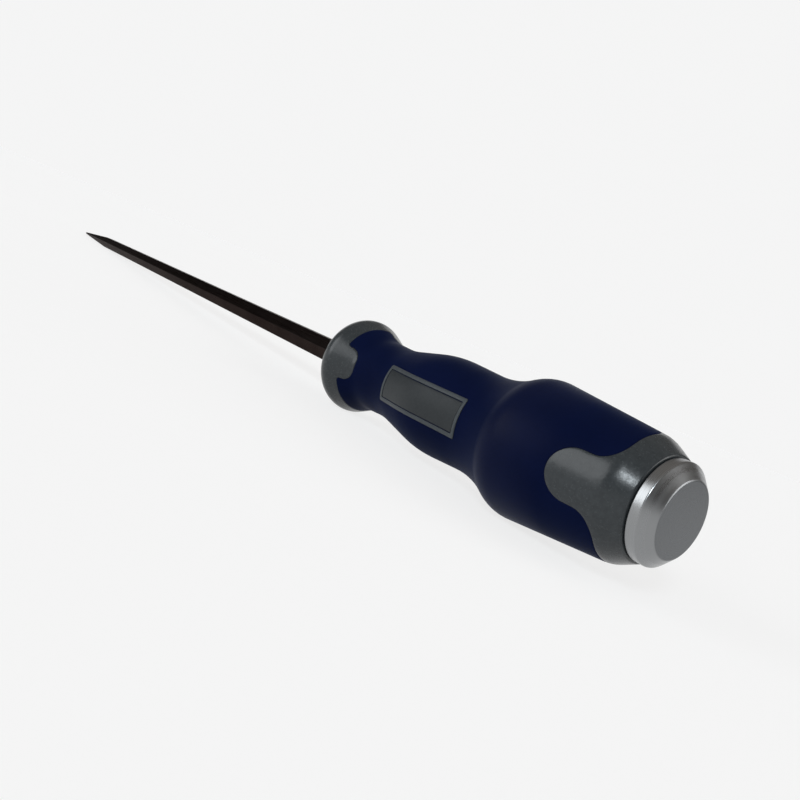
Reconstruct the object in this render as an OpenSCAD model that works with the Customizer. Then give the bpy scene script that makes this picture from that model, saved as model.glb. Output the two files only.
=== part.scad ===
// Through-tang screwdriver with a hexagonal blade, a two-material handle and a strike cap.
// The tool lies along X with its tip towards -X and its strike face at the origin.
// Stations are measured along the tool from the strike face towards the tip.

/* [Blade] */
// Width across the flats of the bar where it leaves the collar
hex_af = 6.8; // [5:0.1:9]
// Height of the shoulder between the bar and its thinner tang, which seats on the collar's nose
tang_step = 0.15; // [0.05:0.05:0.4]
// Width across the flats where the ground tip starts
hex_tip_af = 5.5; // [4:0.1:8]
// Length of the blade in front of the handle
blade_len = 300; // [80:5:400]
// Length of the ground tip
tip_len = 38; // [10:1:60]
// Thickness of the tip's end
tip_t = 0.9; // [0.5:0.1:2]
// Height cut off each corner of the bar
corner_break = 0.12; // [0.05:0.01:0.4]
// Diameter of the turned spigot at the tang's rear end
spigot_d = 5.4; // [3:0.1:6.4]
// Length of the spigot inside the cap
spigot_len = 6.2; // [3:0.1:7.5]

/* [Strike cap] */
// Diameter of the skirt
cap_d = 20.9; // [16:0.1:26]
// Diameter of the flat strike face
cap_face_d = 15.6; // [8:0.1:20]
// Length of the chamfer between the face and the skirt
cap_chamfer_len = 2.4; // [1:0.1:4]
// Length of the cylindrical skirt
cap_skirt_len = 2.1; // [1:0.1:6]
// Rounding of the cap's turned edges
cap_edge_round = 0.35; // [0.1:0.05:0.8]
// Diameter of the hub behind the skirt
hub_d = 12; // [9:0.1:16]
// Length of the hub
hub_len = 3.8; // [2:0.1:8]
// Open line between the skirt and the handle
cap_gap = 0.2; // [0.1:0.05:1.5]

/* [Handle lengths] */
// From the rear edge to the rear corner
rear_len = 4.3; // [2:0.1:8]
// From the rear corner to the crest of the palm swell
taper_len = 28; // [15:0.5:45]
// From the crest down to the finger waist
shoulder_len = 9.5; // [6:0.1:16]
// From the finger waist to the belly under the label
swell_len = 21.6; // [12:0.1:35]
// From the belly to the neck
fall_len = 17.5; // [10:0.1:30]
// From the neck to the throat behind the collar
neck_len = 10.2; // [5:0.1:16]
// From the throat to the collar's rim
flare_len = 9.4; // [5:0.1:15]
// From the rim to the collar's front lip
rim_len = 3; // [2:0.1:8]
// From the lip to the nose where the blade comes out
nose_len = 1.3; // [0.5:0.1:4]

/* [Handle diameters at the profile's corners] */
// Rear edge beside the cap
rear_edge_d = 21.8; // [16:0.1:26]
// Rear corner
rear_d = 26.5; // [20:0.1:32]
// Crest of the palm swell
crest_d = 32.5; // [26:0.1:40]
// Finger waist
waist_d = 23.5; // [20:0.1:30]
// Belly under the label
belly_d = 25.9; // [21:0.1:34]
// Neck
neck_d = 19.3; // [16:0.1:26]
// Throat behind the collar
throat_d = 20.2; // [16:0.1:26]
// Rim of the collar
rim_d = 27.6; // [22:0.1:36]
// Front lip of the collar
lip_d = 25.4; // [18:0.1:32]
// Flat of the nose
nose_d = 12; // [10:0.1:17]

/* [Handle roundings] */
// Rear edge beside the cap
rear_edge_round = 0.5; // [0.1:0.1:1]
// Rear corner
rear_round = 6; // [1:0.5:9]
// Crest of the palm swell
crest_round = 9; // [2:0.5:20]
// Finger waist
waist_round = 31; // [5:1:40]
// Belly
belly_round = 40; // [10:1:60]
// Neck
neck_round = 30; // [5:1:50]
// Throat
throat_round = 8; // [1:0.5:12]
// Rim of the collar
rim_round = 4; // [1:0.5:6]
// Front lip
lip_round = 2.6; // [0.4:0.1:3]

/* [Soft grip and lands] */
// Thickness of the soft grip over the hard core
grip_t = 2; // [1.2:0.1:3]
// Band of hard plastic at the handle's rear end
rear_band_len = 4.7; // [2:0.1:9]
// Band of hard plastic at the collar
front_band_len = 8.9; // [7:0.1:12]
// Number of tongues round the handle at each end
tongue_count = 3; // [2:1:4]
// Length of a rear tongue in front of its band
rear_tongue_len = 12.1; // [8:0.1:20]
// Width of a rear tongue
rear_tongue_w = 10.5; // [6:0.1:14]
// Fillet between a rear tongue and its band
rear_tongue_fillet = 4.5; // [0.5:0.1:5]
// Length of a front tongue behind its band
front_tongue_len = 4.9; // [2:0.1:8]
// Width of a front tongue
front_tongue_w = 9.1; // [5:0.1:12]
// Rounding of a front tongue's corners
front_tongue_round = 3.6; // [0.5:0.1:4.5]
// Fillet between a front tongue and its band
front_tongue_fillet = 1; // [0.3:0.1:2]

/* [Label] */
// Distance from the handle's rear edge to the label
label_from = 45.1; // [38:0.1:52]
// Length of the label plate
label_len = 31.2; // [15:0.1:36]
// Width of the label plate
label_w = 9.5; // [5:0.1:12]
// Rounding of the plate's corners
label_round = 0.5; // [0.2:0.1:2]
// Thickness of the plate
label_t = 0.9; // [0.6:0.05:1.2]
// Height of the plate's rim above the grip
label_proud = 0.25; // [0.1:0.05:0.5]
// Width of the plate's rim
label_rim_w = 0.95; // [0.3:0.05:1.2]
// Thickness of the bare inlay in the plate
inlay_t = 0.4; // [0.2:0.05:0.5]
// Depth of the inlay's face below the rim
inlay_drop = 0.12; // [0.05:0.01:0.2]
// Open groove round the inlay
inlay_gap = 0.18; // [0.1:0.01:0.4]

/* [Fits] */
// Gap between pieces that are moulded round each other
mould_gap = 0.03; // [0.01:0.01:0.1]
// Radial gap between the spigot and the cap's socket
press_gap = 0.02; // [0.01:0.01:0.05]
// Radial gap between the cap's hub and the core's recess
hub_gap = 0.2; // [0.1:0.05:0.5]

/* [Position] */
// Turn of the label from straight up towards the front, which lays the tip's edge level
label_turn = 90; // [-180:30:180]

/* [Hidden] */
$fn = 96;

// Straight pieces that only cut or bound another one reach past it by this much
past = 1;
// Straight steps in each rounded corner of a turned profile
round_steps = 8;
// A tongue's fillet runs this deep into its band, so that it crosses the band's edge at an angle
fillet_dip = 0.04;
// Least rounding of a plate's corners
least_round = 0.1;

// Stations of the cap and the handle
cap_len = cap_chamfer_len + cap_skirt_len;
handle_rear = cap_len + cap_gap;
rear_at = handle_rear + rear_len;
crest_at = rear_at + taper_len;
waist_at = crest_at + shoulder_len;
belly_at = waist_at + swell_len;
neck_at = belly_at + fall_len;
throat_at = neck_at + neck_len;
rim_at = throat_at + flare_len;
lip_at = rim_at + rim_len;
nose_at = lip_at + nose_len;
rear_band_end = handle_rear + rear_band_len;
front_band_start = nose_at - front_band_len;
label_at = handle_rear + label_from;

// Stations of the blade
hub_end = cap_len + hub_len;
tip_end = nose_at + blade_len;
socket_floor = hub_end - spigot_len;
// Width of the tang across its flats, and of the core's bore across its corners
tang_af = hex_af - 2 * tang_step;
tang_bore = (tang_af + 2 * mould_gap) / cos(30);
// The draw and the tip's grind are straight: where each would be at the far end
end_af = hex_af + (hex_tip_af - hex_af) * blade_len / (blade_len - tip_len);
wedge_half_at_nose = (tip_t + (hex_tip_af - tip_t) * blade_len / tip_len) / 2;

// A box or slab that has to hold the whole tool in one direction
reach = tip_end + past;
// Radius that clears every part of the handle
clear_r = max(crest_d, rim_d, belly_d, rear_d) / 2 + past;

function unit(v) = v / norm(v);
function leg(corners, i) = [for (k = [0, 1]) corners[i][k] - corners[i - 1][k]];
function direction(corners, i) = unit(leg(corners, i));
function half_angle(corners, i) =
    let (back_by_ahead = -direction(corners, i) * direction(corners, i + 1))
    acos(max(-1, min(1, back_by_ahead))) / 2;

// Tangent length that a corner's own rounding asks for, and the share of it that its legs have room for
function wanted(corners, i) =
    i < 1 || i > len(corners) - 2 ? 0 : corners[i][2] / tan(half_angle(corners, i));
function room(corners, i) =
    let (asked = wanted(corners, i - 1) + wanted(corners, i))
    asked == 0 ? 1 : min(1, norm(leg(corners, i)) / asked);
function tangent(corners, i) = wanted(corners, i) * min(room(corners, i), room(corners, i + 1));

// The points of one rounded corner, along the arc that touches both of its legs
function corner_arc(corners, i) =
    let (
        corner = [corners[i][0], corners[i][1]],
        back = -direction(corners, i),
        ahead = direction(corners, i + 1),
        half = half_angle(corners, i),
        t = tangent(corners, i),
        radius = t * tan(half),
        centre = corner + unit(back + ahead) * t / cos(half),
        from = corner + back * t - centre,
        to = corner + ahead * t - centre,
        start = atan2(from[1], from[0]),
        sweep = (atan2(to[1], to[0]) - start + 540) % 360 - 180
    )
    [for (k = [0 : round_steps])
        centre + radius * [cos(start + sweep * k / round_steps), sin(start + sweep * k / round_steps)]];

// A chain of corners, each [radius, station, rounding], with every inner corner rounded
function rounded(corners) = [
    [corners[0][0], corners[0][1]],
    for (i = [1 : len(corners) - 2]) each corner_arc(corners, i),
    [corners[len(corners) - 1][0], corners[len(corners) - 1][1]]
];

handle_corners = [
    [0, handle_rear, 0],
    [rear_edge_d / 2, handle_rear, rear_edge_round],
    [rear_d / 2, rear_at, rear_round],
    [crest_d / 2, crest_at, crest_round],
    [waist_d / 2, waist_at, waist_round],
    [belly_d / 2, belly_at, belly_round],
    [neck_d / 2, neck_at, neck_round],
    [throat_d / 2, throat_at, throat_round],
    [rim_d / 2, rim_at, rim_round],
    [lip_d / 2, lip_at, lip_round],
    [nose_d / 2, nose_at, 0]
];
handle_line = rounded(handle_corners);

cap_line = rounded([
    [0, 0, 0],
    [cap_face_d / 2, 0, cap_edge_round],
    [cap_d / 2, cap_chamfer_len, cap_edge_round],
    [cap_d / 2, cap_len, cap_edge_round],
    [hub_d / 2, cap_len, cap_edge_round],
    [hub_d / 2, hub_end, cap_edge_round],
    [0, hub_end, 0]
]);

// Lays a piece that was drawn standing on its strike face, with the label's side towards +X
module laid() {
    rotate([0, -90, 0])
        rotate([0, 0, -label_turn])
            children();
}

// Half section of the handle's outer form, moved in or out by a radial step
module handle_section(step) {
    moved = [for (i = [1 : len(handle_line) - 1]) handle_line[i] + [step, 0]];
    polygon(concat([handle_line[0]], moved, [[0, nose_at]]));
}

// Half section of the room for the grip between the two end bands, drawn in by a gap
module grip_room(gap) {
    difference() {
        translate([0, rear_band_end + gap])
            square([clear_r, front_band_start - rear_band_end - 2 * gap]);
        handle_section(gap - grip_t);
    }
}

module handle_form(step) {
    rotate_extrude()
        handle_section(step);
}

// A plane outline, drawn across and along the tool, carried outwards from the axis on the label's side
module outwards() {
    rotate([90, 0, 90])
        linear_extrude(height = clear_r)
            children();
}

// One tongue in the plane: width, length, rounded end and the fillets at its root
module tongue_shape(width, length, end_round, fillet, grow) {
    w = width / 2 + grow;
    l = length + grow;
    r = min(end_round + grow, w, l);
    f = fillet - grow;
    fillet_top = f + grow - fillet_dip;
    translate([-w, -past])
        square([2 * w, past + l - r]);
    if (w > r)
        translate([r - w, -past])
            square([2 * (w - r), past + l]);
    for (side = [-1, 1])
        translate([side * (w - r), l - r])
            circle(r);
    for (side = [-1, 1])
        difference() {
            translate([side * (w + f / 2), (fillet_top - past) / 2])
                square([f, fillet_top + past], center = true);
            translate([side * (w + f), fillet_top])
                circle(f);
        }
}

module round_the_handle() {
    for (i = [0 : tongue_count - 1])
        rotate([0, 0, i * 360 / tongue_count])
            children();
}

// The tongues of the hard plastic that reach the surface at both ends of the grip
module tongues(grow) {
    round_the_handle()
        outwards()
            translate([0, rear_band_end])
                tongue_shape(rear_tongue_w, rear_tongue_len, rear_tongue_w / 2,
                    rear_tongue_fillet, grow);
    round_the_handle()
        outwards()
            translate([0, front_band_start])
                mirror([0, 1])
                    tongue_shape(front_tongue_w, front_tongue_len, front_tongue_round,
                        front_tongue_fillet, grow);
}

// A plate outline with rounded corners, inset or grown all round
module plate_shape(grow) {
    w = label_w + 2 * grow;
    l = label_len + 2 * grow;
    r = max(label_round + grow, least_round);
    translate([0, label_at + label_len / 2]) {
        square([w - 2 * r, l], center = true);
        square([w, l - 2 * r], center = true);
        for (x = [-1, 1], y = [-1, 1])
            translate([x * (w / 2 - r), y * (l / 2 - r)])
                circle(r);
    }
}

// A layer that follows the handle's form under a plane outline
module layer(bottom, top) {
    intersection() {
        difference() {
            handle_form(top);
            handle_form(bottom);
        }
        outwards()
            children();
    }
}

// A pair of opposite faces between two stations, as a slab across the tool, half as wide as given
module face_pair(from, to, half_from, half_to) {
    rotate([90, 0, 90])
        linear_extrude(height = reach, center = true)
            polygon([
                [-half_from, from],
                [half_from, from],
                [half_to, to],
                [-half_to, to]
            ]);
}

function corner_r(af) = af / 2 / cos(30) - corner_break;

// Hexagonal bar with broken corners, with its width across the flats at each end
module hex_bar(from, to, af_from, af_to) {
    intersection_for (turn = [0, 60, 120])
        rotate([0, 0, turn])
            intersection() {
                face_pair(from, to, af_from / 2, af_to / 2);
                rotate([0, 0, 30])
                    face_pair(from, to, corner_r(af_from), corner_r(af_to));
            }
}

// Hexagonal bar: tang, drawn blade and a tip ground on two opposite flats
module blade() {
    color([0.16, 0.12, 0.11])
        laid() {
            hex_bar(hub_end, nose_at + past, tang_af, tang_af);
            intersection() {
                hex_bar(nose_at, tip_end, hex_af, end_af);
                face_pair(nose_at, tip_end, wedge_half_at_nose, tip_t / 2);
            }
            translate([0, 0, socket_floor])
                cylinder(d = spigot_d, h = spigot_len + past);
        }
}

// Turned cap with a chamfered skirt and a hub whose socket takes the tang's spigot
module strike_cap() {
    color([0.72, 0.73, 0.75])
        laid()
            difference() {
                rotate_extrude()
                    polygon(cap_line);
                translate([0, 0, socket_floor])
                    cylinder(d = spigot_d + 2 * press_gap, h = spigot_len + past);
            }
}

// Hard core moulded on the tang: collar, tongues and rear end reach the surface
module handle_core() {
    color([0.33, 0.34, 0.36])
        laid()
            difference() {
                union() {
                    rotate_extrude()
                        difference() {
                            handle_section(0);
                            grip_room(0);
                        }
                    intersection() {
                        handle_form(0);
                        tongues(0);
                    }
                }
                translate([0, 0, hub_end - past])
                    cylinder(d = tang_bore, h = nose_at - hub_end + 2 * past, $fn = 6);
                translate([0, 0, handle_rear - past])
                    cylinder(d = hub_d + 2 * hub_gap, h = hub_end - handle_rear + past);
            }
}

// Soft sleeve over the core, open where the lands come through, with a recess for the label
module soft_grip() {
    color([0.06, 0.08, 0.3])
        laid()
            difference() {
                rotate_extrude()
                    intersection() {
                        handle_section(0);
                        grip_room(mould_gap);
                    }
                tongues(mould_gap);
                layer(label_proud - label_t - mould_gap, past)
                    plate_shape(mould_gap);
            }
}

// Raised plate in the grip with a shallow tray for the inlay
module label_plate() {
    color([0.42, 0.43, 0.45])
        laid()
            difference() {
                layer(label_proud - label_t, label_proud)
                    plate_shape(0);
                layer(label_proud - inlay_drop - inlay_t - mould_gap, past)
                    plate_shape(-label_rim_w);
            }
}

// Bare dark inlay in the tray
module label_inlay() {
    color([0.2, 0.21, 0.23])
        laid()
            layer(label_proud - inlay_drop - inlay_t, label_proud - inlay_drop)
                plate_shape(-label_rim_w - inlay_gap);
}

blade();
strike_cap();
handle_core();
soft_grip();
label_plate();
label_inlay();
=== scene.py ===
from math import acos, asin, cos, pi, radians, sin, sqrt, tan

import bmesh
import bpy
from mathutils import Matrix, Vector


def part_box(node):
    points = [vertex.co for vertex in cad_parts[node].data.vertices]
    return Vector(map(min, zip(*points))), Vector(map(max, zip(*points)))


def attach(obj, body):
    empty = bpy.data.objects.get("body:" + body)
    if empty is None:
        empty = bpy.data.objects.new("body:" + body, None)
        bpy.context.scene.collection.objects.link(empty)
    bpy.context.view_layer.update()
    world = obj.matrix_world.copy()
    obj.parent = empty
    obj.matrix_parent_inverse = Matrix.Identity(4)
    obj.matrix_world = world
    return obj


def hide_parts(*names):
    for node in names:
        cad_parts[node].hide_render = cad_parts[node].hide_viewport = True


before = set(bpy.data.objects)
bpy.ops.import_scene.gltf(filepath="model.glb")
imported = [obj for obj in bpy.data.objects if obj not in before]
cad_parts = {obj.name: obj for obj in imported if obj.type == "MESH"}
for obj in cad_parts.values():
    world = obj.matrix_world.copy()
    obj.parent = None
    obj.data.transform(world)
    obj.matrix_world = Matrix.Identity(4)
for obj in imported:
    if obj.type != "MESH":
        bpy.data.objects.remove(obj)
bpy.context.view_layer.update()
print("frame loaded:", ", ".join(sorted(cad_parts)))

# Pieces are drawn in millimetres, standing on the strike face with the label's side towards x.
# layDown then puts them along -X, with the label towards -Y and the tip's edge level.
drawing = {
    "millimetre": 0.001,
    "labelTurn": 90,
    "sharpAngle": 32,  # degrees between two faces where the shading breaks
    "sameSpot": 0.0005,  # mm within which vertices are merged
}
layDown = (
    Matrix.Scale(drawing["millimetre"], 4)
    @ Matrix.Rotation(radians(-90), 4, "Y")
    @ Matrix.Rotation(radians(-drawing["labelTurn"]), 4, "Z")
)


def rearOf(node):  # mm from the strike face to the node's rear end
    return -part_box(node)[1].x / drawing["millimetre"]


def frontOf(node):  # mm from the strike face to the node's front end
    return -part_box(node)[0].x / drawing["millimetre"]


def addPiece(name, bm, material):
    mesh = bpy.data.meshes.new(name)
    bm.to_mesh(mesh)
    bm.free()
    mesh.materials.append(material)
    piece = bpy.data.objects.new(name, mesh)
    bpy.context.scene.collection.objects.link(piece)
    return piece


def finishPiece(name, bm, node, material):
    bmesh.ops.remove_doubles(bm, verts=bm.verts, dist=drawing["sameSpot"])
    bmesh.ops.recalc_face_normals(bm, faces=bm.faces)
    for face in bm.faces:
        face.smooth = True
    for edge in bm.edges:
        edge.smooth = edge.calc_face_angle(0) < radians(drawing["sharpAngle"])
    bmesh.ops.transform(bm, matrix=layDown, verts=bm.verts)
    piece = addPiece(name, bm, material)
    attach(piece, "root")
    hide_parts(node)
    triangles = sum(len(p.vertices) - 2 for p in piece.data.polygons)
    print(name, "made:", triangles, "triangles")


# The handle's turned outline: corners as mm from its rear edge, radius and rounding

handle = {
    "rear": rearOf("handle_core"),
    "nose": frontOf("handle_core"),
    "corners": [
        (0.0, 0.0, 0.0),  # middle of the rear face
        (0.0, 10.9, 0.5),  # rear edge beside the cap
        (4.3, 13.25, 6.0),  # rear corner
        (32.3, 16.25, 9.0),  # crest of the palm swell
        (41.8, 11.75, 31.0),  # finger waist
        (63.4, 12.95, 40.0),  # belly under the label
        (80.9, 9.65, 30.0),  # neck
        (91.1, 10.1, 8.0),  # throat
        (100.5, 13.8, 4.0),  # rim of the collar
        (103.5, 12.7, 2.6),  # front lip
        (104.8, 6.0, 0.0),  # flat of the nose
    ],
    "plainFrom": 25.0,  # mm from the strike face: between these two stations there are no tongues
    "plainTo": 93.0,
    "skin": 0.012,  # mm that the surface lies inside the exact outline
    "rearSteps": 6,  # rows on the rounded rear edge
    "walk": 0.02,  # mm between the points where the outline's length is measured
}


def cornerArcs(corners):
    points = [Vector((handle["rear"] + c[0], c[1])) for c in corners]
    legs = [b - a for a, b in zip(points, points[1:])]
    turns = [a.angle(b) for a, b in zip(legs, legs[1:])]
    wanted = [0] + [c[2] * tan(t / 2) for c, t in zip(corners[1:], turns)] + [0]
    spans = [a + b for a, b in zip(wanted, wanted[1:])]
    room = [min(1, leg.length / span) if span else 1 for leg, span in zip(legs, spans)]
    arcs = []
    for i, turn in enumerate(turns, 1):
        reach = wanted[i] * min(room[i - 1], room[i])
        radius = reach / tan(turn / 2)
        before = legs[i - 1].normalized()
        after = legs[i].normalized()
        side = 1 if before.cross(after) > 0 else -1
        start = points[i] - before * reach
        end = points[i] + after * reach
        centre = start + Vector((-before.y, before.x)) * side * radius
        arcs.append({"from": start.x, "to": end.x, "centre": centre, "radius": radius, "side": side})
    return points, arcs


outlinePoints, outlineArcs = cornerArcs(handle["corners"])


def formRadius(station):
    station = max(station, outlineArcs[0]["from"])
    for arc in outlineArcs:
        if arc["from"] <= station <= arc["to"]:
            across = station - arc["centre"].x
            rise = sqrt(max(0, arc["radius"] ** 2 - across**2))
            return arc["centre"].y - arc["side"] * rise - handle["skin"]
    for a, b in zip(outlinePoints[1:], outlinePoints[2:]):
        if station <= b.x:
            return a.y + (b.y - a.y) * (station - a.x) / (b.x - a.x) - handle["skin"]
    return outlinePoints[-1].y - handle["skin"]


def rearStations():  # evenly spaced round the rear edge
    edge = outlineArcs[0]
    end = acos((edge["to"] - edge["centre"].x) / edge["radius"])
    turns = [pi + (end - pi) * i / handle["rearSteps"] for i in range(handle["rearSteps"] + 1)]
    return [edge["centre"].x + edge["radius"] * cos(turn) for turn in turns]


def stationsAlong(start, end, spacing):  # stations between two, evenly spaced along the outline
    count = int((end - start) / handle["walk"])
    walk = [start + (end - start) * i / count for i in range(count + 1)]
    lengths = [0]
    for a, b in zip(walk, walk[1:]):
        lengths.append(lengths[-1] + sqrt((b - a) ** 2 + (formRadius(b) - formRadius(a)) ** 2))
    rows = max(1, round(lengths[-1] / spacing))
    picked = []
    at = 0
    for row in range(1, rows):
        while lengths[at] < lengths[-1] * row / rows:
            at += 1
        picked.append(walk[at])
    return picked


# Rings: each is a closed loop of edges round the tool, and grows out of the one before it


def onlyVerts(parts):
    return [part for part in parts if isinstance(part, bmesh.types.BMVert)]


def placeRing(ring, spots):
    for vert, spot in zip(ring, spots):
        vert.co = spot
    return ring


def startRing(bm, spots):
    return placeRing(bmesh.ops.create_circle(bm, segments=len(spots), radius=1)["verts"], spots)


def ringEdges(bm, ring):
    return [bm.edges.get(pair) for pair in zip(ring, ring[1:] + ring[:1])]


def nextRing(bm, ring, spots):
    made = bmesh.ops.extrude_edge_only(bm, edges=ringEdges(bm, ring))["geom"]
    fresh = set(onlyVerts(made))
    grown = [next(e.other_vert(v) for e in v.link_edges if e.other_vert(v) in fresh) for v in ring]
    return placeRing(grown, spots)


def spotsOn(line, lift=0.0):  # a line is a list of (angle, station) on the handle's form
    spots = []
    for angle, station in line:
        radius = formRadius(station) + lift
        spots.append(Vector((radius * cos(angle), radius * sin(angle), station)))
    return spots


def circleSpots(line, radius, station):
    return [Vector((radius * cos(angle), radius * sin(angle), station)) for angle, _ in line]


def roundOff(bm, geom, width, steps, affect="EDGES"):
    bmesh.ops.bevel(
        bm, geom=geom, offset=width, offset_type="OFFSET", affect=affect,
        segments=steps, profile=0.5, material=-1, clamp_overlap=True,
    )


def between(lineA, lineB, share):
    return [(a[0] + (b[0] - a[0]) * share, a[1] + (b[1] - a[1]) * share) for a, b in zip(lineA, lineB)]


# Tongues of the hard core that reach the surface at both ends of the grip

tongues = {
    "count": 3,
    "rear": {
        "band": handle["rear"] + 4.7,
        "way": 1,
        "length": 12.1,
        "width": 10.5,
        "endRound": 5.25,
        "fillet": 4.5,
        "steps": (0, 13, 4, 10, 5),  # along the end, its rounding, the side, the fillet and the band
    },
    "front": {
        "band": handle["nose"] - 8.9,
        "way": -1,
        "length": 4.9,
        "width": 9.1,
        "endRound": 3.6,
        "fillet": 1.0,
        "steps": (3, 12, 2, 6, 9),
    },
}


def tongueHalf(tongue, grow):  # from the tongue's middle round its end, down its side, to the band
    endSteps, roundSteps, sideSteps, filletSteps, bandSteps = tongue["steps"]
    half = tongue["width"] / 2 + grow
    top = tongue["length"] + grow
    rounding = min(tongue["endRound"] + grow, half)
    fillet = tongue["fillet"] - grow
    root = fillet + grow
    points = [((half - rounding) * i / endSteps, top) for i in range(endSteps)]
    for i in range(roundSteps):
        turn = pi / 2 * i / roundSteps
        points.append((half - rounding + rounding * sin(turn), top - rounding + rounding * cos(turn)))
    for i in range(sideSteps):
        points.append((half, top - rounding + (root - top + rounding) * i / sideSteps))
    for i in range(filletSteps + 1):
        turn = pi / 2 * i / filletSteps
        points.append((half + fillet - fillet * cos(turn), root - fillet * sin(turn)))
    stations = [tongue["band"] + tongue["way"] * along for _, along in points]
    line = [(asin(point[0] / formRadius(s)), s) for point, s in zip(points, stations)]
    last, bandStation = line[-1]
    gap = pi / tongues["count"] - last
    return line + [(last + gap * i / bandSteps, bandStation) for i in range(1, bandSteps + 1)]


def tongueLine(tongue, grow):
    half = tongueHalf(tongue, grow)
    mirrored = [(-angle, station) for angle, station in half[:0:-1]]
    line = []
    for i in range(tongues["count"]):
        pitch = 2 * pi * i / tongues["count"]
        line += [(angle + pitch, station) for angle, station in mirrored + half[:-1]]
    return line


def plainLine(station):
    count = len(tongueLine(tongues["rear"], 0))
    return [(2 * pi * i / count - pi / tongues["count"], station) for i in range(count)]


# Materials: small helpers, then one function for each finish


def newMaterial(name):
    material = bpy.data.materials.new(name)
    material.use_nodes = True
    return material, material.node_tree.nodes["Principled BSDF"]


def plug(material, value, socket):  # the value is another node's output, or plain
    if isinstance(value, bpy.types.NodeSocket):
        material.node_tree.links.new(value, socket)
    else:
        socket.default_value = value


def addNode(material, kind, settings=None, **inputs):
    node = material.node_tree.nodes.new(kind)
    for name, value in (settings or {}).items():
        setattr(node, name, value)
    for name, value in inputs.items():
        plug(material, value, node.inputs[name.replace("_", " ")])
    return node


def calculate(material, operation, first, second, clamp=False):
    node = addNode(material, "ShaderNodeMath", {"operation": operation, "use_clamp": clamp})
    plug(material, first, node.inputs[0])
    plug(material, second, node.inputs[1])
    return node.outputs["Value"]


def objectPlace(material, stretch=(1, 1, 1)):
    place = addNode(material, "ShaderNodeTexCoord").outputs["Object"]
    return addNode(material, "ShaderNodeMapping", Vector=place, Scale=stretch).outputs["Vector"]


def fromAxis(material, place):  # distance from the tool's axis
    parts = addNode(material, "ShaderNodeSeparateXYZ", Vector=place).outputs
    flat = addNode(material, "ShaderNodeCombineXYZ", Y=parts["Y"], Z=parts["Z"]).outputs["Vector"]
    length = addNode(material, "ShaderNodeVectorMath", {"operation": "LENGTH"}, Vector=flat)
    return length.outputs["Value"]


def speckle(material, place, size, detail):  # noise whose spots are about size mm across
    scale = 1 / (size * drawing["millimetre"])
    noise = addNode(material, "ShaderNodeTexNoise", Vector=place, Scale=scale, Detail=detail)
    return noise.outputs["Fac"]


def remap(material, value, old, new):  # takes a number from one range to another
    limits = {"From_Min": old[0], "From_Max": old[1], "To_Min": new[0], "To_Max": new[1]}
    return addNode(material, "ShaderNodeMapRange", Value=value, **limits).outputs["Result"]


def fillRamp(ramp, stops):  # stops are positions with their colours
    elements = ramp.color_ramp.elements
    for _ in range(len(elements), len(stops)):
        elements.new(1)
    for element, (position, colour) in zip(elements, stops):
        element.position = position
        element.color = (*colour, 1)


noiseRange = (0.3, 0.7)  # nearly all of a noise lies between these


def spread(material, factor, low, high):  # a number that wanders between two values
    return remap(material, factor, noiseRange, (low, high))


def tint(material, factor, low, high):  # a colour that wanders between two
    ramp = addNode(material, "ShaderNodeValToRGB", Fac=factor)
    fillRamp(ramp, list(zip(noiseRange, (low, high))))
    return ramp.outputs["Color"]


def dimple(material, height, depth):  # bump whose depth is in mm
    distance = depth * drawing["millimetre"]
    bump = addNode(material, "ShaderNodeBump", Height=height, Strength=1, Distance=distance)
    return bump.outputs["Normal"]


gripRubber = {
    "deep": (0.0023, 0.0043, 0.0215),
    "worn": (0.0031, 0.0057, 0.0275),
    "cloud": 14.0,  # mm across the patches that hands have rubbed
    "grain": 0.16,  # mm across the soft-touch grain
    "grainDepth": 0.012,
    "roughness": (0.4, 0.5),
    "palm": (14.6, 16.0),  # mm from the axis where the polish of hands starts, and where it is full
    "specular": (0.008, 0.05),
    "sheen": 0.03,
    "sheenTint": (0.25, 0.45, 1.0),
}


def makeGripRubber():
    material, shader = newMaterial("gripRubber")
    place = objectPlace(material)
    cloud = speckle(material, place, gripRubber["cloud"], detail=4)
    grain = speckle(material, place, gripRubber["grain"], detail=2)
    colour = tint(material, cloud, gripRubber["deep"], gripRubber["worn"])
    plug(material, colour, shader.inputs["Base Color"])
    plug(material, spread(material, cloud, *gripRubber["roughness"]), shader.inputs["Roughness"])
    plug(material, dimple(material, grain, gripRubber["grainDepth"]), shader.inputs["Normal"])
    palm = [radius * drawing["millimetre"] for radius in gripRubber["palm"]]
    polish = remap(material, fromAxis(material, place), palm, gripRubber["specular"])
    plug(material, polish, shader.inputs["Specular IOR Level"])
    shader.inputs["Sheen Weight"].default_value = gripRubber["sheen"]
    shader.inputs["Sheen Tint"].default_value = (*gripRubber["sheenTint"], 1)
    return material


corePlastic = {
    "dark": (0.024, 0.028, 0.031),
    "light": (0.034, 0.039, 0.042),
    "mottle": 0.9,  # mm across the mottling
    "spark": 0.45,  # mm across the spark-eroded texture
    "sparkDepth": 0.014,
    "roughness": (0.2, 0.29),
    "specular": 0.3,
}


def makeCorePlastic():
    material, shader = newMaterial("corePlastic")
    place = objectPlace(material)
    mottle = speckle(material, place, corePlastic["mottle"], detail=6)
    spark = speckle(material, place, corePlastic["spark"], detail=4)
    colour = tint(material, mottle, corePlastic["dark"], corePlastic["light"])
    plug(material, colour, shader.inputs["Base Color"])
    plug(material, spread(material, spark, *corePlastic["roughness"]), shader.inputs["Roughness"])
    plug(material, dimple(material, spark, corePlastic["sparkDepth"]), shader.inputs["Normal"])
    shader.inputs["Specular IOR Level"].default_value = corePlastic["specular"]
    return material


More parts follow.
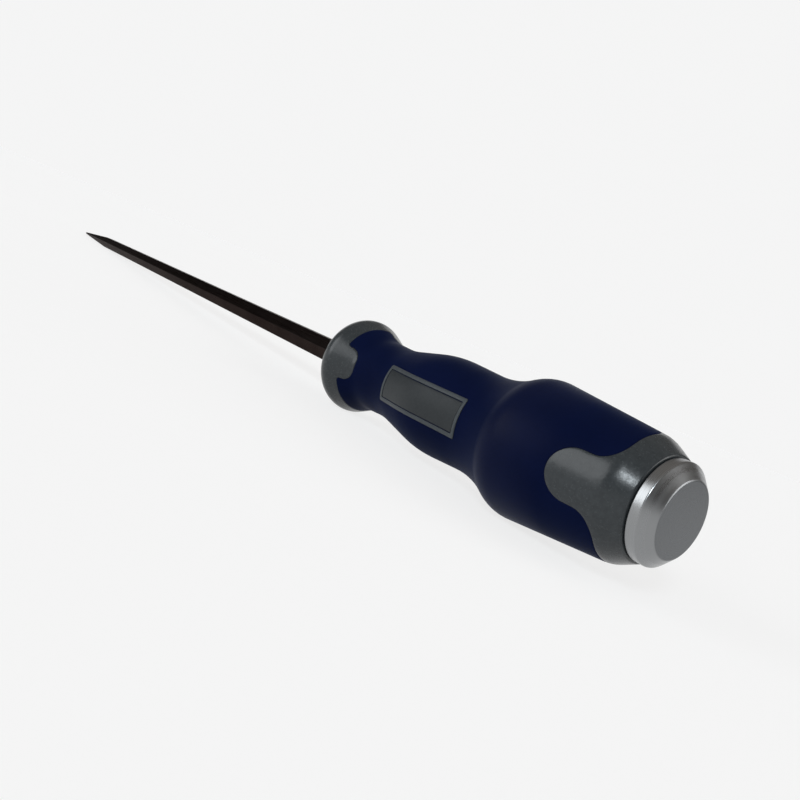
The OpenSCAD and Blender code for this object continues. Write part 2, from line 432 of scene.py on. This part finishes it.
capSteel = {
    "zones": [  # mm in front of the strike face, and the steel's reflectance there
        # The struck face's low reflectance is painted shade: it dims the face as the dark surroundings it
        # mirrors would. The skirt's slightly higher value is a painted brightening of the band that
        # mirrors the lamps.
        (0.0, (0.12, 0.126, 0.132)),  # struck face
        (0.12, (0.25, 0.256, 0.262)),  # chamfer
        (2.25, (0.26, 0.266, 0.272)),
        (2.45, (0.28, 0.286, 0.292)),  # skirt
    ],
    "zoneLength": 5.0,  # mm that the zones are spread over
    "ring": 0.12,  # mm between the turning marks
    "ringDepth": 0.001,
    "roughness": (0.26, 0.34),
}


def makeCapSteel():
    material, shader = newMaterial("capSteel")
    place = objectPlace(material)
    along = addNode(material, "ShaderNodeSeparateXYZ", Vector=place).outputs["X"]
    path = calculate(material, "ADD", along, fromAxis(material, place))  # rings on the face and the skirt
    scale = 1 / (capSteel["ring"] * drawing["millimetre"])
    rings = addNode(
        material, "ShaderNodeTexNoise", {"noise_dimensions": "1D"},
        W=path, Scale=scale, Detail=3,
    )
    marks = rings.outputs["Fac"]
    length = capSteel["zoneLength"]
    zone = remap(material, along, (0, -length * drawing["millimetre"]), (0, 1))
    # This ramp paints shade on the struck face and a little light on the skirt, by position along the
    # cap.
    ramp = addNode(material, "ShaderNodeValToRGB", Fac=zone)
    fillRamp(ramp, [(station / length, colour) for station, colour in capSteel["zones"]])
    plug(material, ramp.outputs["Color"], shader.inputs["Base Color"])
    plug(material, spread(material, marks, *capSteel["roughness"]), shader.inputs["Roughness"])
    plug(material, dimple(material, marks, capSteel["ringDepth"]), shader.inputs["Normal"])
    shader.inputs["Metallic"].default_value = 1
    return material


bladeSteel = {
    "black": (0.025, 0.0205, 0.02),
    "brown": (0.034, 0.0275, 0.026),
    "stain": 7.0,  # mm across the stains of the burnishing
    "streak": (0.02, 1, 1),  # drawing marks run along the bar
    "streakWidth": 0.25,
    "streakDepth": 0.004,
    "roughness": (0.25, 0.37),
    "grazing": (0.46, 0.445, 0.44),  # tint of the mirrored light at a flat angle
}


def makeBladeSteel():
    material, shader = newMaterial("bladeSteel")
    stain = speckle(material, objectPlace(material), bladeSteel["stain"], detail=5)
    drawn = objectPlace(material, bladeSteel["streak"])
    streak = speckle(material, drawn, bladeSteel["streakWidth"], detail=3)
    colour = tint(material, stain, bladeSteel["black"], bladeSteel["brown"])
    plug(material, colour, shader.inputs["Base Color"])
    plug(material, spread(material, streak, *bladeSteel["roughness"]), shader.inputs["Roughness"])
    plug(material, dimple(material, streak, bladeSteel["streakDepth"]), shader.inputs["Normal"])
    shader.inputs["Metallic"].default_value = 1
    shader.inputs["Specular Tint"].default_value = (*bladeSteel["grazing"], 1)
    return material


labelFinish = {
    "rim": ((0.036, 0.043, 0.048), (0.049, 0.056, 0.061)),
    "field": ((0.0138, 0.0172, 0.0197), (0.0188, 0.0224, 0.025)),
    "mottle": 0.7,  # mm across the mottling
    "grain": 0.2,  # mm across the grain
    "grainDepth": 0.012,
    "roughness": (0.4, 0.52),
    "specular": 0.25,
}


def makeLabelPlastic(name, colours):
    material, shader = newMaterial(name)
    place = objectPlace(material)
    mottle = speckle(material, place, labelFinish["mottle"], detail=5)
    grain = speckle(material, place, labelFinish["grain"], detail=3)
    plug(material, tint(material, mottle, *colours), shader.inputs["Base Color"])
    plug(material, spread(material, grain, *labelFinish["roughness"]), shader.inputs["Roughness"])
    plug(material, dimple(material, grain, labelFinish["grainDepth"]), shader.inputs["Normal"])
    shader.inputs["Specular IOR Level"].default_value = labelFinish["specular"]
    return material


# Blade: one hexagonal bar from the spigot in the cap to the ground tip

blade = {
    "rear": rearOf("blade"),
    "tip": frontOf("blade"),
    "hubEnd": frontOf("strike_cap"),
    "spigot": 2.7,  # radius
    "tangFlats": 6.5,
    "flats": 6.8,
    "endFlats": 5.311,  # the bar's taper carried on to the tip's end
    "tipThickness": 0.9,
    "groundLength": 38.0,
    "groundFlats": 5.5,
    "sharpFrom": 20,  # degrees between two faces from which their edge is rounded
    "clearOfNose": 1.0,  # mm in front of the handle, behind which no edge is rounded
    "edgeRound": 0.16,
    "edgeSteps": 3,
    "hold": 0.05,  # mm beside a rounded edge where the flat starts
    "flatArea": 2.0,  # square mm from which a face is a flat
    "spigotSteps": 24,
}


def evenLine(count):  # angles at equal steps, for circleSpots
    return [(2 * pi * i / count, 0) for i in range(count)]


def hexSpots(flats, station):
    return circleSpots(evenLine(6), flats / 2 / cos(pi / 6), station)


def makeBlade():
    bm = bmesh.new()
    nose = handle["nose"]
    turned = evenLine(blade["spigotSteps"])
    ring = startRing(bm, circleSpots(turned, blade["spigot"], blade["rear"]))
    bmesh.ops.edgeloop_fill(bm, edges=ringEdges(bm, ring))
    spigotEnd = nextRing(bm, ring, circleSpots(turned, blade["spigot"], blade["hubEnd"]))
    ring = startRing(bm, hexSpots(blade["tangFlats"], blade["hubEnd"]))
    bmesh.ops.bridge_loops(bm, edges=ringEdges(bm, spigotEnd) + ringEdges(bm, ring))
    for flats, station in (
        (blade["tangFlats"], nose),
        (blade["flats"], nose),
        (blade["endFlats"], blade["tip"]),
    ):
        ring = nextRing(bm, ring, hexSpots(flats, station))
    bmesh.ops.edgeloop_fill(bm, edges=ringEdges(bm, ring))
    bmesh.ops.recalc_face_normals(bm, faces=bm.faces)
    slope = (blade["groundFlats"] - blade["tipThickness"]) / 2 / blade["groundLength"]
    for side in (-1, 1):  # the two faces ground on the tip
        cut = bmesh.ops.bisect_plane(
            bm,
            geom=bm.verts[:] + bm.edges[:] + bm.faces[:],
            plane_co=(0, side * blade["tipThickness"] / 2, blade["tip"]),
            plane_no=(0, side, slope),
            clear_outer=True,
        )
        rim = [part for part in cut["geom_cut"] if isinstance(part, bmesh.types.BMEdge)]
        bmesh.ops.edgeloop_fill(bm, edges=rim)
    roundedFrom = nose + blade["clearOfNose"]
    sharp = [edge for edge in bm.edges if edge.calc_face_angle(0) > radians(blade["sharpFrom"])]
    corners = [edge for edge in sharp if max(v.co.z for v in edge.verts) > roundedFrom]
    roundOff(bm, corners, blade["edgeRound"], blade["edgeSteps"])
    flats = [face for face in bm.faces if face.calc_area() > blade["flatArea"] and len(face.verts) > 3]
    bmesh.ops.inset_individual(bm, faces=flats, thickness=blade["hold"], use_even_offset=True)
    finishPiece("bladeBar", bm, "blade", makeBladeSteel())


# Strike cap: turned from the solid, pressed on the spigot

cap = {
    "radius": 10.45,
    "faceAt": 0.004,  # mm that the struck face lies inside the tool's box
    "faceRadius": 7.8,
    "chamferLength": 2.4,
    "skirtEnd": 4.5,
    "hubRadius": 6.0,
    "hubEnd": frontOf("strike_cap"),
    "socketRadius": 2.72,
    "socketFloor": rearOf("blade"),
    "edgeRound": 0.22,
    "edgeSteps": 5,
    "hold": 0.06,  # mm beside a rounded edge where the flat starts
    "heldFrom": 0.48,  # mm, shorter lines of the outline are roundings and get no hold
    "steps": 180,
}


def makeCap():
    bm = bmesh.new()
    outline = [
        (0, cap["faceAt"]),
        (cap["faceRadius"], cap["faceAt"]),
        (cap["radius"], cap["chamferLength"]),
        (cap["radius"], cap["skirtEnd"]),
        (cap["hubRadius"], cap["skirtEnd"]),
        (cap["hubRadius"], cap["hubEnd"]),
        (cap["socketRadius"], cap["hubEnd"]),
        (cap["socketRadius"], cap["socketFloor"]),
        (0, cap["socketFloor"]),
    ]
    verts = [bm.verts.new((radius, 0, station)) for radius, station in outline]
    for pair in zip(verts, verts[1:]):
        bm.edges.new(pair)
    outside = verts[1:6]  # every corner but those on the axis and in the socket
    roundOff(bm, outside, cap["edgeRound"], cap["edgeSteps"], affect="VERTICES")
    for edge in bm.edges[:]:
        length = edge.calc_length()
        if length > cap["heldFrom"]:
            first, last = edge.verts
            rest = bmesh.utils.edge_split(edge, first, cap["hold"] / length)[1]
            far = next(e for e in rest.link_edges if last in e.verts)
            bmesh.utils.edge_split(far, last, cap["hold"] / (length - cap["hold"]))
    bmesh.ops.spin(
        bm, geom=bm.verts[:] + bm.edges[:], axis=(0, 0, 1), cent=(0, 0, 0),
        angle=2 * pi, steps=cap["steps"], use_merge=True,
    )
    finishPiece("strikeCap", bm, "strike_cap", makeCapSteel())


# Hard core: rear band, collar and tongues at the surface, a channel for the grip between them

core = {
    "hubRecess": 6.2,  # radius of the hole for the cap's hub
    "channel": 2.0,  # depth of the channel under the grip
    "edgeRound": 0.12,
    "edgeSteps": 3,
    "hold": 0.5,  # mm between a tongue's edge and the next row of faces
    "rearRows": 12,
    "collarFrom": 2.2,  # mm from the front band's edge to the first plain row
    "collarRows": 8,
    "collarSpacing": 0.4,
    "noseHole": 3.0,  # radius of the disc that the bar hides
}


def makeCore():
    bm = bmesh.new()
    rearEdge = plainLine(handle["rear"])
    rearTongue = tongueLine(tongues["rear"], 0)
    rearHold = tongueLine(tongues["rear"], -core["hold"])
    frontTongue = tongueLine(tongues["front"], 0)
    frontHold = tongueLine(tongues["front"], -core["hold"])
    hubEnd = frontOf("strike_cap")
    ring = startRing(bm, circleSpots(rearEdge, core["hubRecess"], hubEnd))
    bmesh.ops.edgeloop_fill(bm, edges=ringEdges(bm, ring))
    ring = nextRing(bm, ring, circleSpots(rearEdge, core["hubRecess"], handle["rear"]))
    for station in rearStations():
        rearEdge = plainLine(station)
        ring = nextRing(bm, ring, spotsOn(rearEdge))
    for row in range(1, core["rearRows"]):
        ring = nextRing(bm, ring, spotsOn(between(rearEdge, rearHold, row / core["rearRows"])))
    ring = nextRing(bm, ring, spotsOn(rearHold))
    rearRim = nextRing(bm, ring, spotsOn(rearTongue))
    ring = nextRing(bm, rearRim, spotsOn(rearTongue, -core["channel"]))
    for station in (handle["plainFrom"], handle["plainTo"]):
        ring = nextRing(bm, ring, spotsOn(plainLine(station), -core["channel"]))
    ring = nextRing(bm, ring, spotsOn(frontTongue, -core["channel"]))
    frontRim = nextRing(bm, ring, spotsOn(frontTongue))
    ring = nextRing(bm, frontRim, spotsOn(frontHold))
    collar = plainLine(tongues["front"]["band"] + core["collarFrom"])
    for row in range(1, core["collarRows"] + 1):
        ring = nextRing(bm, ring, spotsOn(between(frontHold, collar, row / core["collarRows"])))
    for station in stationsAlong(collar[0][1], handle["nose"], core["collarSpacing"]):
        ring = nextRing(bm, ring, spotsOn(plainLine(station)))
    ring = nextRing(bm, ring, spotsOn(plainLine(handle["nose"])))
    ring = nextRing(bm, ring, circleSpots(rearEdge, core["noseHole"], handle["nose"]))
    bmesh.ops.edgeloop_fill(bm, edges=ringEdges(bm, ring))
    roundOff(bm, ringEdges(bm, rearRim) + ringEdges(bm, frontRim), core["edgeRound"], core["edgeSteps"])
    finishPiece("handleCore", bm, "handle_core", makeCorePlastic())


# Soft grip: a sleeve in the core's channel, open round the tongues

grip = {
    "gap": 0.03,
    "thickness": 1.97,
    "edgeRound": 0.12,
    "edgeSteps": 3,
    "hold": 0.5,
    "rearRows": 10,
    "frontRows": 5,
    "rowSpacing": 0.9,
    "insideSpacing": 3.0,
}


def makeGrip():
    bm = bmesh.new()
    rearTongue = tongueLine(tongues["rear"], grip["gap"])
    rearHold = tongueLine(tongues["rear"], grip["hold"])
    frontTongue = tongueLine(tongues["front"], grip["gap"])
    frontHold = tongueLine(tongues["front"], grip["hold"])
    plainFrom, plainTo = handle["plainFrom"], handle["plainTo"]
    rearPlain = plainLine(plainFrom)
    frontPlain = plainLine(plainTo)
    rearRim = startRing(bm, spotsOn(rearTongue))
    ring = nextRing(bm, rearRim, spotsOn(rearHold))
    for row in range(1, grip["rearRows"] + 1):
        ring = nextRing(bm, ring, spotsOn(between(rearHold, rearPlain, row / grip["rearRows"])))
    for station in stationsAlong(plainFrom, plainTo, grip["rowSpacing"]):
        ring = nextRing(bm, ring, spotsOn(plainLine(station)))
    for row in range(grip["frontRows"]):
        ring = nextRing(bm, ring, spotsOn(between(frontPlain, frontHold, row / grip["frontRows"])))
    ring = nextRing(bm, ring, spotsOn(frontHold))
    frontRim = nextRing(bm, ring, spotsOn(frontTongue))
    ring = nextRing(bm, frontRim, spotsOn(frontTongue, -grip["thickness"]))
    inside = stationsAlong(plainFrom, plainTo, grip["insideSpacing"])
    for station in [plainTo] + inside[::-1] + [plainFrom]:
        ring = nextRing(bm, ring, spotsOn(plainLine(station), -grip["thickness"]))
    ring = nextRing(bm, ring, spotsOn(rearTongue, -grip["thickness"]))
    bmesh.ops.bridge_loops(bm, edges=ringEdges(bm, ring) + ringEdges(bm, rearRim))
    roundOff(bm, ringEdges(bm, rearRim) + ringEdges(bm, frontRim), grip["edgeRound"], grip["edgeSteps"])
    finishPiece("softGrip", bm, "soft_grip", makeGripRubber())


# Label: a plate with a raised rim, and a bare inlay in its tray; both are made flat and wrapped

label = {
    "from": rearOf("label_plate"),
    "to": frontOf("label_plate"),
    "width": 9.5,
    "cornerRound": 0.5,
    "cornerSteps": 4,
    "proud": 0.25,
    "thickness": 0.9,
    "rim": 0.95,
    "tray": 0.55,  # depth of the tray below the rim
    "trayRound": 0.2,
    "gap": 0.18,  # mm between the inlay and the rim
    "inlayDrop": 0.12,  # mm that the inlay lies below the rim
    "inlayThickness": 0.4,
    "inlayRound": 0.15,
    "edgeRound": 0.09,
    "edgeSteps": 2,
    "sharpFrom": 60,  # degrees between two faces from which their edge is rounded
    "near": 0.001,  # mm within which two heights are one
    "across": 16,
    "along": 48,
}


def plateSize(inset):  # width, length and middle station
    wide = label["width"] - 2 * inset
    long = label["to"] - label["from"] - 2 * inset
    return wide, long, (label["from"] + label["to"]) / 2


def flatPlate(bm, inset, height):
    wide, long, middle = plateSize(inset)
    place = Matrix.Translation((0, middle, height)) @ Matrix.Diagonal((wide / 2, long / 2, 1, 1))
    bmesh.ops.create_grid(bm, x_segments=label["across"], y_segments=label["along"], size=1, matrix=place)


def sharpEdges(bm):
    return [edge for edge in bm.edges if edge.calc_face_angle(0) > radians(label["sharpFrom"])]


def roundCorners(bm, depth, rounding):  # the upright edges of that depth at the corners
    uprights = []
    for edge in sharpEdges(bm):
        rise = abs(edge.verts[0].co.z - edge.verts[1].co.z)
        if rise > depth - label["near"] and abs(edge.calc_length() - depth) < label["near"]:
            uprights.append(edge)
    roundOff(bm, uprights, rounding, label["cornerSteps"])


def rimOf(bm):
    return [edge for edge in bm.edges if edge.is_boundary]


def growRim(bm):  # the corners of a new row of faces round the rim
    return onlyVerts(bmesh.ops.extrude_edge_only(bm, edges=rimOf(bm))["geom"])


def dropRim(bm, depth):
    bmesh.ops.translate(bm, verts=growRim(bm), vec=(0, 0, -depth))
    bmesh.ops.edgeloop_fill(bm, edges=rimOf(bm))


def wrapOnHandle(bm):  # across stays across, along becomes the station, height goes outwards
    for vert in bm.verts:
        across, station, height = vert.co
        radius = formRadius(station) + height
        vert.co = (sqrt(radius**2 - across**2), across, station)


def roundRims(bm, height):  # the sharp edges at that height
    rims = []
    for edge in sharpEdges(bm):
        if all(abs(v.co.z - height) < label["near"] for v in edge.verts):
            rims.append(edge)
    roundOff(bm, rims, label["edgeRound"], label["edgeSteps"])


def makeLabelPlate():
    bm = bmesh.new()
    flatPlate(bm, label["rim"], label["proud"])
    inner = bm.faces[:]
    wide, long, middle = plateSize(label["rim"])
    fullWide, fullLong, _ = plateSize(0)
    widen = (fullWide / wide, fullLong / long, 1)
    fromMiddle = Matrix.Translation((0, -middle, 0))
    bmesh.ops.scale(bm, verts=growRim(bm), vec=widen, space=fromMiddle)
    tray = bmesh.ops.extrude_face_region(bm, geom=inner)["geom"]
    bmesh.ops.translate(bm, verts=onlyVerts(tray), vec=(0, 0, -label["tray"]))
    bmesh.ops.delete(bm, geom=inner, context="FACES")
    dropRim(bm, label["thickness"])
    roundCorners(bm, label["thickness"], label["cornerRound"])
    roundCorners(bm, label["tray"], label["trayRound"])
    roundRims(bm, label["proud"])
    wrapOnHandle(bm)
    material = makeLabelPlastic("labelPlastic", labelFinish["rim"])
    finishPiece("labelPlate", bm, "label_plate", material)


def makeLabelInlay():
    bm = bmesh.new()
    top = label["proud"] - label["inlayDrop"]
    flatPlate(bm, label["rim"] + label["gap"], top)
    dropRim(bm, label["inlayThickness"])
    roundCorners(bm, label["inlayThickness"], label["inlayRound"])
    roundRims(bm, top)
    wrapOnHandle(bm)
    material = makeLabelPlastic("inlayPlastic", labelFinish["field"])
    finishPiece("labelInlay", bm, "label_inlay", material)


makeBlade()
makeCap()
makeCore()
makeGrip()
makeLabelPlate()
makeLabelInlay()

# Stage: a pale floor that the handle and the heel of the tip rest on, and a pale wall behind the tool

stage = {
    "floorSize": 8.0,  # metres, as the wall's sizes are
    "cells": 8,
    "probe": 0.4,  # mm between the handle's stations that are tried on the floor
    "cloud": 200.0,  # mm across the floor's faint patches
    "roughness": 0.9,
    "floor": {
        "light": (0.9, 0.9, 0.9),
        "dark": (0.88, 0.88, 0.88),
        "white": 0.76,  # share of plain white that is shown; the rest keeps the shadow
        "shade": 1.0,
    },
    "wall": {
        "light": (0.3, 0.3, 0.3),
        "dark": (0.28, 0.28, 0.28),
        "white": 0.9,
        "shade": 0.982,
    },
    "wallWay": (-0.762, 0.648, 0.0),  # from the tool to the wall
    "wallDistance": 3.2,
    "wallSize": 7.0,
    "wallDrop": 1.4,  # how far the wall's middle lies below the tool
    "wallAside": 1.0,  # and to its right in the picture
}


def makeStageMaterial(name):
    look = stage[name]
    material, shader = newMaterial(name)
    cloud = speckle(material, objectPlace(material), stage["cloud"], detail=2)
    plug(material, tint(material, cloud, look["dark"], look["light"]), shader.inputs["Base Color"])
    shader.inputs["Roughness"].default_value = stage["roughness"]
    shader.inputs["Specular IOR Level"].default_value = 0
    rays = addNode(material, "ShaderNodeLightPath").outputs
    mirrored = calculate(material, "ADD", rays["Is Glossy Ray"], rays["Is Transmission Ray"])
    seen = calculate(material, "ADD", rays["Is Camera Ray"], mirrored, clamp=True)
    share = calculate(material, "MULTIPLY", seen, look["white"])
    shade = look["shade"]
    glow = addNode(material, "ShaderNodeEmission", Color=(shade, shade, shade, 1), Strength=1)
    mix = addNode(material, "ShaderNodeMixShader", Fac=share)
    plug(material, shader.outputs["BSDF"], mix.inputs[1])
    plug(material, glow.outputs["Emission"], mix.inputs[2])
    plug(material, mix.outputs["Shader"], material.node_tree.nodes["Material Output"].inputs["Surface"])
    return material


def makeStagePiece(name, size, place):
    bm = bmesh.new()
    bmesh.ops.create_grid(bm, x_segments=stage["cells"], y_segments=stage["cells"], size=size / 2)
    bmesh.ops.transform(bm, matrix=place, verts=bm.verts)
    piece = addPiece(name, bm, makeStageMaterial(name))
    print(name, "laid")


def makeStage():
    heel = blade["tip"] - blade["groundLength"]
    heelDepth = blade["groundFlats"] / 2
    handleStations = stationsAlong(handle["rear"], handle["nose"], stage["probe"])
    slope = max((formRadius(station) - heelDepth) / (heel - station) for station in handleStations)
    drop = (heelDepth + slope * heel) * drawing["millimetre"]
    tilt = Matrix(((1, 0, 0, 0), (0, 1, 0, 0), (-slope, 0, 1, -drop), (0, 0, 0, 1)))  # to touch both
    makeStagePiece("floor", stage["floorSize"], tilt)
    way = Vector(stage["wallWay"])
    aside = Vector((way.y, -way.x, 0)) * stage["wallAside"]
    middle = way * stage["wallDistance"] + aside - Vector((0, 0, stage["wallDrop"]))
    stand = Matrix.Translation(middle) @ way.to_track_quat("Z", "Y").to_matrix().to_4x4()
    makeStagePiece("wall", stage["wallSize"], stand)


makeStage()

# Light: a cool key and a soft fill on the label's side, a broad lamp behind, and a dim studio

light = {
    "lamps": {  # where each comes from, its strength, its spread in degrees and its colour
        "key": ((0.41, -0.77, 0.48), 1.3, 12, (0.87, 0.95, 1.0)),
        "fill": ((-0.45, -0.84, 0.31), 1.1, 36, (0.95, 0.98, 1.0)),
        "back": ((0.78, 0.5, 0.37), 1.3, 42, (1.0, 1.0, 1.0)),
    },
    "sky": [  # height, and the studio's brightness there
        (0.0, (0.52, 0.52, 0.52)),
        (0.1, (0.44, 0.44, 0.44)),
        (0.22, (0.085, 0.081, 0.077)),
        (0.6, (0.2, 0.188, 0.176)),
        (1.0, (0.38, 0.355, 0.33)),
    ],
}


def makeLight():
    for name, (source, strength, spreadAngle, colour) in light["lamps"].items():
        lamp = bpy.data.lights.new(name, "SUN")
        lamp.energy = strength
        lamp.angle = radians(spreadAngle)
        lamp.color = colour
        sun = bpy.data.objects.new(name, lamp)
        sun.rotation_mode = "QUATERNION"
        sun.rotation_quaternion = Vector(source).to_track_quat("Z", "Y")
        bpy.context.scene.collection.objects.link(sun)
    world = bpy.data.worlds.new("studio")
    world.use_nodes = True
    bpy.context.scene.world = world
    nodes = world.node_tree.nodes
    links = world.node_tree.links
    place = nodes.new("ShaderNodeTexCoord")
    parts = nodes.new("ShaderNodeSeparateXYZ")
    ramp = nodes.new("ShaderNodeValToRGB")
    fillRamp(ramp, light["sky"])
    links.new(place.outputs["Generated"], parts.inputs["Vector"])
    links.new(parts.outputs["Z"], ramp.inputs["Fac"])
    links.new(ramp.outputs["Color"], nodes["Background"].inputs["Color"])
    print("lamps and studio set")


makeLight()

# Camera: close behind the cap, low and on the label's side

camera = {
    "place": (0.06325, -0.12598, 0.01321),
    "right": (0.57964, 0.73017, 0.36174),
    "up": (-0.29716, -0.22394, 0.92820),
    "lens": 32.84,
    "sensor": 36,
    "clip": (0.005, 50),
}


def makeCamera():
    data = bpy.data.cameras.new("camera")
    data.lens = camera["lens"]
    data.sensor_width = camera["sensor"]
    data.clip_start, data.clip_end = camera["clip"]
    eye = bpy.data.objects.new("camera", data)
    right = Vector(camera["right"]).normalized()
    up = Vector(camera["up"])
    back = right.cross(up).normalized()
    up = back.cross(right)
    turn = Matrix((right, up, back)).transposed()
    eye.matrix_world = Matrix.Translation(camera["place"]) @ turn.to_4x4()
    bpy.context.scene.collection.objects.link(eye)
    bpy.context.scene.camera = eye
    print("camera placed")


makeCamera()
bpy.context.scene.view_settings.view_transform = "Standard"
